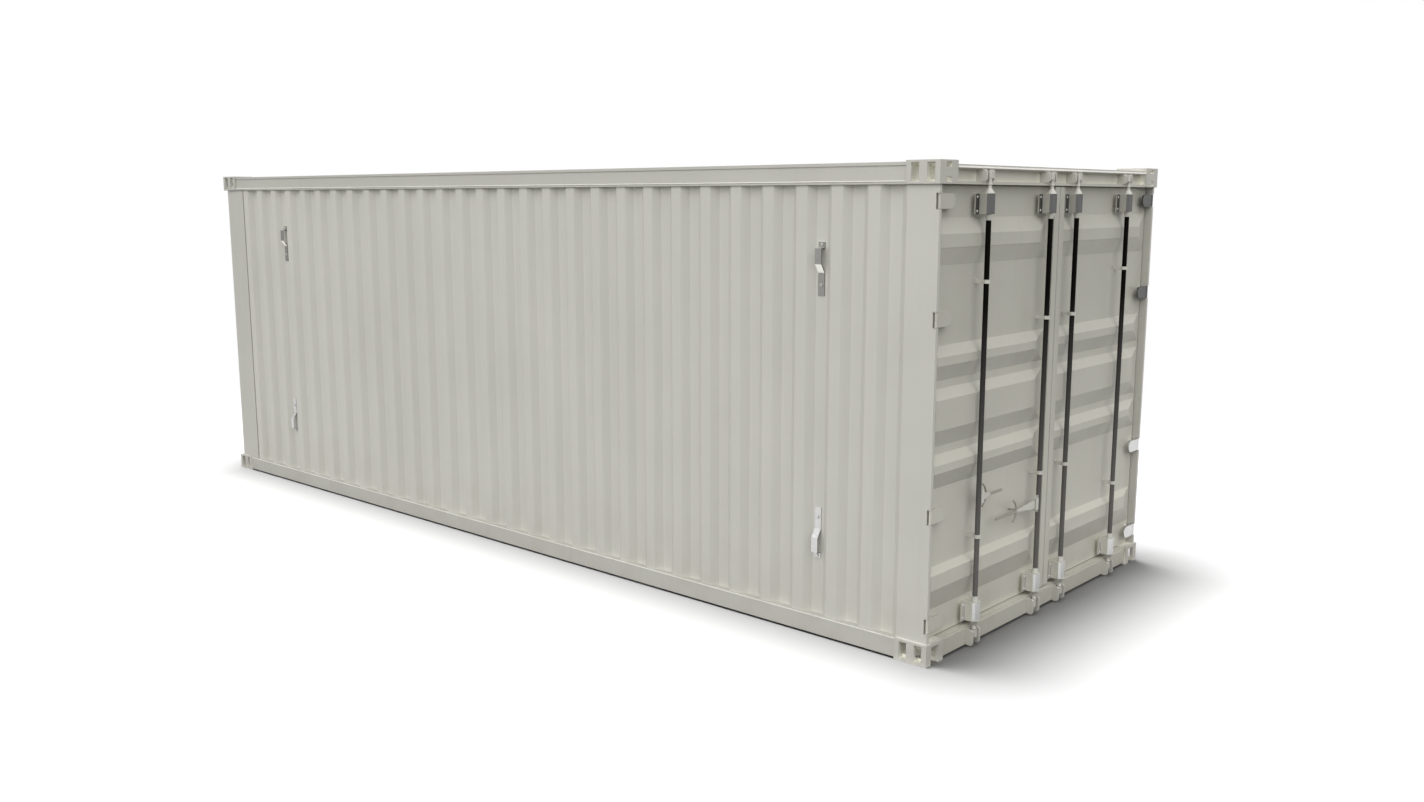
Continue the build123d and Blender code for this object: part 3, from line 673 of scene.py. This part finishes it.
def join_rings(mesh_data, rings):
    """A closed skin over rings of equally many points, with a flat face at both ends."""
    count = len(rings[0])
    for lower, upper in zip(rings, rings[1:]):
        for i in range(count):
            j = (i + 1) % count
            mesh_data.faces.new((lower[i], lower[j], upper[j], upper[i]))
    mesh_data.faces.new(rings[-1])
    mesh_data.faces.new(list(reversed(rings[0])))


def add_turned(mesh_data, foot, direction, outline, sides):
    """A turned shape standing on a point, from the radius and level of each of its rings."""
    turn = Vector((0.0, 0.0, 1.0)).rotation_difference(Vector(direction)).to_matrix().to_4x4()
    place = Matrix.Translation(Vector(foot)) @ turn
    rings = []
    for radius, level in outline:
        ring = []
        for i in range(sides):
            angle = 2 * math.pi * i / sides
            point = Vector((radius * math.cos(angle), radius * math.sin(angle), level))
            ring.append(mesh_data.verts.new(place @ point))
        rings.append(ring)
    join_rings(mesh_data, rings)


def add_dome(mesh_data, foot, direction, radius, height, sides=16, rings=4):
    """A low domed head on a short skirt."""
    outline = [(radius, 0.0)]
    for ring in range(1, rings + 1):
        angle = 0.5 * math.pi * ring / rings
        level = height * (DOME_SKIRT + (1.0 - DOME_SKIRT) * math.sin(angle))
        outline.append((radius * math.cos(DOME_TURN * angle), level))
    add_turned(mesh_data, foot, direction, outline, sides)


def add_hexagon(mesh_data, foot, direction, radius, height):
    """A hexagon head with a chamfered top."""
    outline = [(radius, 0.0), (radius, BOLT_CHAMFER * height), (BOLT_CHAMFER * radius, height)]
    add_turned(mesh_data, foot, direction, outline, BOLT_SIDES)


def add_weld(mesh_data, start, stop, radius, pitch):
    """A rippled weld bead along a straight joint."""
    run = Vector(stop) - Vector(start)
    count = max(WELD_FEWEST, int(run.length / pitch))
    outline = []
    for i in range(count + 1):
        ripple = sum(height * math.sin(pace * i + shift) for height, pace, shift in WELD_RIPPLES)
        swell = WELD_TIP if i in (0, count) else 1.0 + ripple
        outline.append((radius * swell, run.length * i / count))
    add_turned(mesh_data, start, run.normalized(), outline, WELD_SIDES)


def add_bar(mesh_data, placed, profile, start, stop):
    """A straight bar with the given outline, along the axis that placed says."""
    rings = [[mesh_data.verts.new(placed(first, second, along)) for first, second in profile]
             for along in (start, stop)]
    join_rings(mesh_data, rings)


def along_x(y, z, x):
    """Place a profile in Y and Z along X."""
    return (x, y, z)


def along_y(x, z, y):
    """Place a profile in X and Z along Y."""
    return (x, y, z)


def along_z(x, y, z):
    """Place a profile in X and Y along Z."""
    return (x, y, z)


def add_frame(mesh_data, profile, y0, y1, z0, z1):
    """A closed frame round a rectangle. The profile gives how far in and at what X each line runs."""
    corners = ((y0, z0, 1, 1), (y1, z0, -1, 1), (y1, z1, -1, -1), (y0, z1, 1, -1))
    loops = []
    for corner_y, corner_z, way_y, way_z in corners:
        loops.append([mesh_data.verts.new((x, corner_y + way_y * inset, corner_z + way_z * inset))
                      for inset, x in profile])
    count = len(profile)
    for first, second in zip(loops, loops[1:] + loops[:1]):
        for i in range(count):
            j = (i + 1) % count
            mesh_data.faces.new((first[i], first[j], second[j], second[i]))


def box_solids(name):
    """The boxes of the separate solids of a node, each as its lowest and highest corner."""
    mesh_data = bmesh.new()
    mesh_data.from_mesh(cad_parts[name].data)
    bmesh.ops.remove_doubles(mesh_data, verts=mesh_data.verts, dist=SAME_POINT)
    left = set(mesh_data.verts)
    boxes = []
    while left:
        # The group grows by its neighbours while it is walked through
        group = [left.pop()]
        for vert in group:
            for edge in vert.link_edges:
                other = edge.other_vert(vert)
                if other in left:
                    left.remove(other)
                    group.append(other)
        along_axes = list(zip(*(vert.co for vert in group)))
        boxes.append((Vector(map(min, along_axes)), Vector(map(max, along_axes))))
    mesh_data.free()
    return sorted(boxes, key=lambda box: tuple(round(value, SORTING_DIGITS) for value in box[0]))


def bearing_rivets(side, material):
    """Rivets at the four corners of each bearing flange."""
    mesh_data = bmesh.new()
    for low, high in box_solids(side + "_door_bearings"):
        x = high.x - BEARING_PROUD
        for y in (low.y + RIVET_INSET, high.y - RIVET_INSET):
            for z in (low.z + RIVET_INSET, high.z - RIVET_INSET):
                add_dome(mesh_data, (x, y, z), (1.0, 0.0, 0.0), RIVET_RADIUS, RIVET_HEIGHT)
    new_piece("bearing_rivets_" + side, mesh_data, material, side + "_door")


def bracket_bolts(material):
    """A hexagon head on the short tab and one on the tail of each tie bracket."""
    mesh_data = bmesh.new()
    for low, high in box_solids("tie_brackets"):
        outward = -1.0 if low.y < 0 else 1.0
        wall_y = (high.y - STRAP_THICKNESS) if outward < 0 else (low.y + STRAP_THICKNESS)
        x = (low.x + high.x) / 2
        if high.z > BRACKET_PARTING:
            heights = (high.z - TAB_BOLT, low.z + TAIL_BOLT)
        else:
            heights = (low.z + TAB_BOLT, high.z - TAIL_BOLT)
        for z in heights:
            add_hexagon(mesh_data, (x, wall_y, z), (0.0, outward, 0.0), BOLT_RADIUS, BOLT_HEIGHT)
    new_piece("bracket_bolts", mesh_data, material, "container")


def floor_screws(material):
    """Countersunk screw heads in a row over each cross member."""
    mesh_data = bmesh.new()
    low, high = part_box("floor_boards")
    reach = high[1] - low[1] - 2 * SCREW_MARGIN
    for beam_low, beam_high in box_solids("cross_members"):
        x = (beam_low.x + beam_high.x) / 2
        for i in range(SCREW_COUNT):
            y = low[1] + SCREW_MARGIN + reach * i / (SCREW_COUNT - 1)
            add_dome(mesh_data, (x, y, high[2]), (0.0, 0.0, 1.0), SCREW_RADIUS, SCREW_HEIGHT,
                     sides=8, rings=1)
    new_piece("floor_screws", mesh_data, material, "container")


def frame_welds(material):
    """Weld beads where the posts meet the castings, and along the wall sheets."""
    mesh_data = bmesh.new()
    for low, high in box_solids("door_posts") + box_solids("front_posts"):
        outer = low.y if low.y < 0 else high.y
        for z in (low.z, high.z):
            add_weld(mesh_data, (low.x, outer, z), (high.x, outer, z), WELD_RADIUS, WELD_PITCH)
    for name in ("side_wall_left", "side_wall_right"):
        low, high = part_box(name)
        inner = (high[1] - WALL_WELD_INSET) if low[1] < 0 else (low[1] + WALL_WELD_INSET)
        for z in (low[2], high[2]):
            add_weld(mesh_data, (low[0], inner, z), (high[0], inner, z), WALL_WELD_RADIUS,
                     WALL_WELD_PITCH)
    new_piece("frame_welds", mesh_data, material, "container")


def door_seal(side, material):
    """The seal of a leaf: a rounded lip all round its edge, and a strip at the meeting edge."""
    low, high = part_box(side + "_door_frame")
    outward = -1.0 if side == "left" else 1.0
    meeting = high[1] if side == "left" else low[1]
    lip = meeting - outward * SEAL_MEETING_LIP
    y0, y1 = low[1] - SEAL_LIP, high[1] + SEAL_LIP
    if side == "left":
        y1 = lip
    else:
        y0 = lip
    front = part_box(side + "_door_panel")[0][0] - SEAL_SKIN
    back = front - SEAL_DEPTH
    foot = SEAL_LIP + SEAL_SKIN
    profile = [(0.0, front - SEAL_CORNER), (SEAL_NOSE, front), (foot, front),
               (foot, back), (SEAL_HEEL, back), (0.0, back + SEAL_CORNER)]
    mesh_data = bmesh.new()
    add_frame(mesh_data, profile, y0, y1, low[2] - SEAL_LIP, high[2] + SEAL_LIP)
    strip_front = high[0] - STRIP_SETBACK
    strip_back = strip_front - SEAL_DEPTH
    strip = [(strip_back, meeting), (strip_front, meeting),
             (strip_front, lip + STRIP_NOSE_SHARE * outward * SEAL_MEETING_LIP),
             (strip_front - STRIP_BEVEL, lip), (strip_back, lip)]
    add_bar(mesh_data, along_z, strip, low[2], high[2])
    new_piece("door_seal_" + side, mesh_data, material, side + "_door")


def post_covers(material):
    """A flat cover plate beside each front post, with a folded edge, over the last corrugation."""
    low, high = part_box("front_posts")
    mesh_data = bmesh.new()
    start = high[0]
    stop = start + COVER_WIDTH
    for face, inward in ((low[1], 1.0), (high[1], -1.0)):
        back = face + inward * COVER_THICKNESS
        edge = face + inward * COVER_RETURN
        profile = [(start, face), (stop, face), (stop, edge), (stop - COVER_THICKNESS, edge),
                   (stop - COVER_THICKNESS, back), (start, back)]
        add_bar(mesh_data, along_z, profile, low[2], high[2])
    new_piece("post_covers", mesh_data, material, "container")


def roof_edges(material):
    """The upright edge of the roof on each top rail."""
    low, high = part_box("top_side_rails")
    mesh_data = bmesh.new()
    foot = high[2] - SEATING
    for outer, inward in ((low[1], 1.0), (high[1], -1.0)):
        inner = outer + inward * ROOF_EDGE_THICKNESS
        profile = [(outer, foot), (inner, foot), (inner, ROOF_EDGE_TOP), (outer, ROOF_EDGE_TOP)]
        add_bar(mesh_data, along_x, profile, low[0], high[0])
    new_piece("roof_edges", mesh_data, material, "container")


def rail_beads(material):
    """A bead, light as a painted highlight, near the lower edge of each top rail and the upper edge of
    each bottom rail.
    """
    mesh_data = bmesh.new()
    for name, below_top in BEADS_BELOW_TOP.items():
        low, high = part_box(name)
        z = high[2] - below_top
        for face, inward in ((low[1], 1.0), (high[1], -1.0)):
            back = face + inward * SEATING
            front = face - inward * 0.5 * BEAD_RADIUS
            profile = [(back, z - BEAD_RADIUS), (back, z + BEAD_RADIUS),
                       (front, z + 0.5 * BEAD_RADIUS), (front, z - 0.5 * BEAD_RADIUS)]
            add_bar(mesh_data, along_x, profile, low[0], high[0])
    new_piece("rail_beads", mesh_data, material, "container")


def header_drip(material):
    """The drip edge along the header's upper flange, light as a painted highlight."""
    low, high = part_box("door_header")
    mesh_data = bmesh.new()
    back = high[0] - SEATING
    profile = [(back, DRIP_LOW), (high[0] + DRIP_PROUD, DRIP_LOW), (back, DRIP_HIGH)]
    add_bar(mesh_data, along_y, profile, low[1], high[1])
    new_piece("header_drip", mesh_data, material, "container")


def make_camera():
    """The camera at the photograph's place."""
    data = bpy.data.cameras.new("photo_camera")
    data.sensor_width = SENSOR
    data.lens = SENSOR * FOCAL_PIXELS / IMAGE_WIDTH
    data.clip_end = VIEW_DEPTH
    camera = bpy.data.objects.new("photo_camera", data)
    camera.location = CAMERA_PLACE
    camera.rotation_euler = (math.radians(90.0 - CAMERA_PITCH), 0.0, math.radians(CAMERA_YAW))
    bpy.context.scene.collection.objects.link(camera)
    bpy.context.scene.camera = camera


def background_rays(tree):
    """One where a camera, glossy or transmission ray looks, and zero for the light's own rays."""
    path = tree.nodes.new("ShaderNodeLightPath")
    seen = combine(tree, "MAXIMUM", path.outputs["Is Camera Ray"], path.outputs["Is Glossy Ray"])
    return combine(tree, "MAXIMUM", seen, path.outputs["Is Transmission Ray"])


def floor_finish():
    """White far off, and near the container a grey that its lamp lifts to white but for the shadow."""
    material, tree, output = new_tree("studio_floor")
    mix = tree.nodes.new("ShaderNodeMixShader")
    far_mix = tree.nodes.new("ShaderNodeMixShader")
    tree.links.new(background_rays(tree), mix.inputs["Fac"])
    for socket, level in ((mix.inputs[1], FLOOR_BOUNCE), (far_mix.inputs[1], FLOOR_SEEN)):
        matt = tree.nodes.new("ShaderNodeBsdfDiffuse")
        matt.inputs["Color"].default_value = (level, level, level, 1.0)
        tree.links.new(matt.outputs["BSDF"], socket)
    distance = tree.nodes.new("ShaderNodeVectorMath")
    distance.operation = "LENGTH"
    tree.links.new(object_place(tree), distance.inputs[0])
    far = spread(tree, distance.outputs["Value"], (SHADOW_REACH, SHADOW_REACH + SHADOW_FADE))
    tree.links.new(far, far_mix.inputs["Fac"])
    white = tree.nodes.new("ShaderNodeEmission")
    tree.links.new(white.outputs["Emission"], far_mix.inputs[2])
    tree.links.new(far_mix.outputs["Shader"], mix.inputs[2])
    tree.links.new(mix.outputs["Shader"], output.inputs["Surface"])
    return material


def make_floor():
    """A floor that keeps the container's shadow."""
    half = FLOOR_SIZE / 2
    mesh = bpy.data.meshes.new("studio_floor")
    corners = [(-half, -half, 0.0), (half, -half, 0.0), (half, half, 0.0), (-half, half, 0.0)]
    mesh.from_pydata(corners, [], [(0, 1, 2, 3)])
    mesh.materials.append(floor_finish())
    floor = bpy.data.objects.new("studio_floor", mesh)
    bpy.context.scene.collection.objects.link(floor)
    return floor


def make_world():
    """Plain soft light from all round, on a white background."""
    world = bpy.data.worlds.new("studio")
    bpy.context.scene.world = world
    world.use_nodes = True
    tree = world.node_tree
    tree.nodes.clear()
    output = tree.nodes.new("ShaderNodeOutputWorld")
    mix = tree.nodes.new("ShaderNodeMixShader")
    tree.links.new(background_rays(tree), mix.inputs["Fac"])
    for socket, level in ((mix.inputs[1], SKY_LEVEL), (mix.inputs[2], 1.0)):
        light = tree.nodes.new("ShaderNodeBackground")
        light.inputs["Color"].default_value = WHITE
        light.inputs["Strength"].default_value = level
        tree.links.new(light.outputs["Background"], socket)
    tree.links.new(mix.outputs["Shader"], output.inputs["Surface"])


def place_lamp(name, data, place, receivers):
    """Add a lamp that lights only the given objects."""
    lamp = bpy.data.objects.new(name, data)
    lamp.location = place
    bpy.context.scene.collection.objects.link(lamp)
    group = bpy.data.collections.new(name + "_receivers")
    for item in receivers:
        group.objects.link(item)
    lamp.light_linking.receiver_collection = group
    return lamp


def make_sun(name, direction, level, angle, receivers):
    """A broad soft lamp far away, for which level 1 shows a colour facing it as written."""
    data = bpy.data.lights.new(name, "SUN")
    data.energy = math.pi * level
    data.angle = math.radians(angle)
    lamp = place_lamp(name, data, SUN_PLACE, receivers)
    lamp.rotation_euler = direction.to_track_quat("Z", "Y").to_euler()


def make_lamps(floor):
    """One lamp over the floor for the shadow, and three on the container: side, doors and back."""
    data = bpy.data.lights.new("floor_lamp", "AREA")
    data.shape = "DISK"
    data.size = FLOOR_LAMP_SIZE
    data.energy = FLOOR_LAMP_LEVEL * (math.pi * FLOOR_LAMP_PLACE[2]) ** 2
    place_lamp("floor_lamp", data, FLOOR_LAMP_PLACE, [floor])
    pieces = [item for item in bpy.context.scene.objects if item.type == "MESH" and item != floor]
    make_sun("side_lamp", SIDE_LAMP_FROM, SIDE_LAMP_LEVEL, SIDE_LAMP_ANGLE, pieces)
    make_sun("end_lamp", END_LAMP_FROM, END_LAMP_LEVEL, END_LAMP_ANGLE, pieces)
    make_sun("back_lamp", BACK_LAMP_FROM, BACK_LAMP_LEVEL, BACK_LAMP_ANGLE, pieces)


bpy.context.scene.view_settings.view_transform = "Standard"
materials = make_materials()
dress_nodes(materials)
for leaf in ("left", "right"):
    bearing_rivets(leaf, materials["rivet"])
    door_seal(leaf, materials["rubber"])
bracket_bolts(materials["bracket"])
floor_screws(materials["bracket"])
# Welds, rail beads and the drip edge are in the painted highlight colours
frame_welds(materials["bead"])
post_covers(materials["frame"])
roof_edges(materials["rail"])
rail_beads(materials["edge"])
header_drip(materials["edge"])
make_camera()
make_world()
make_lamps(make_floor())
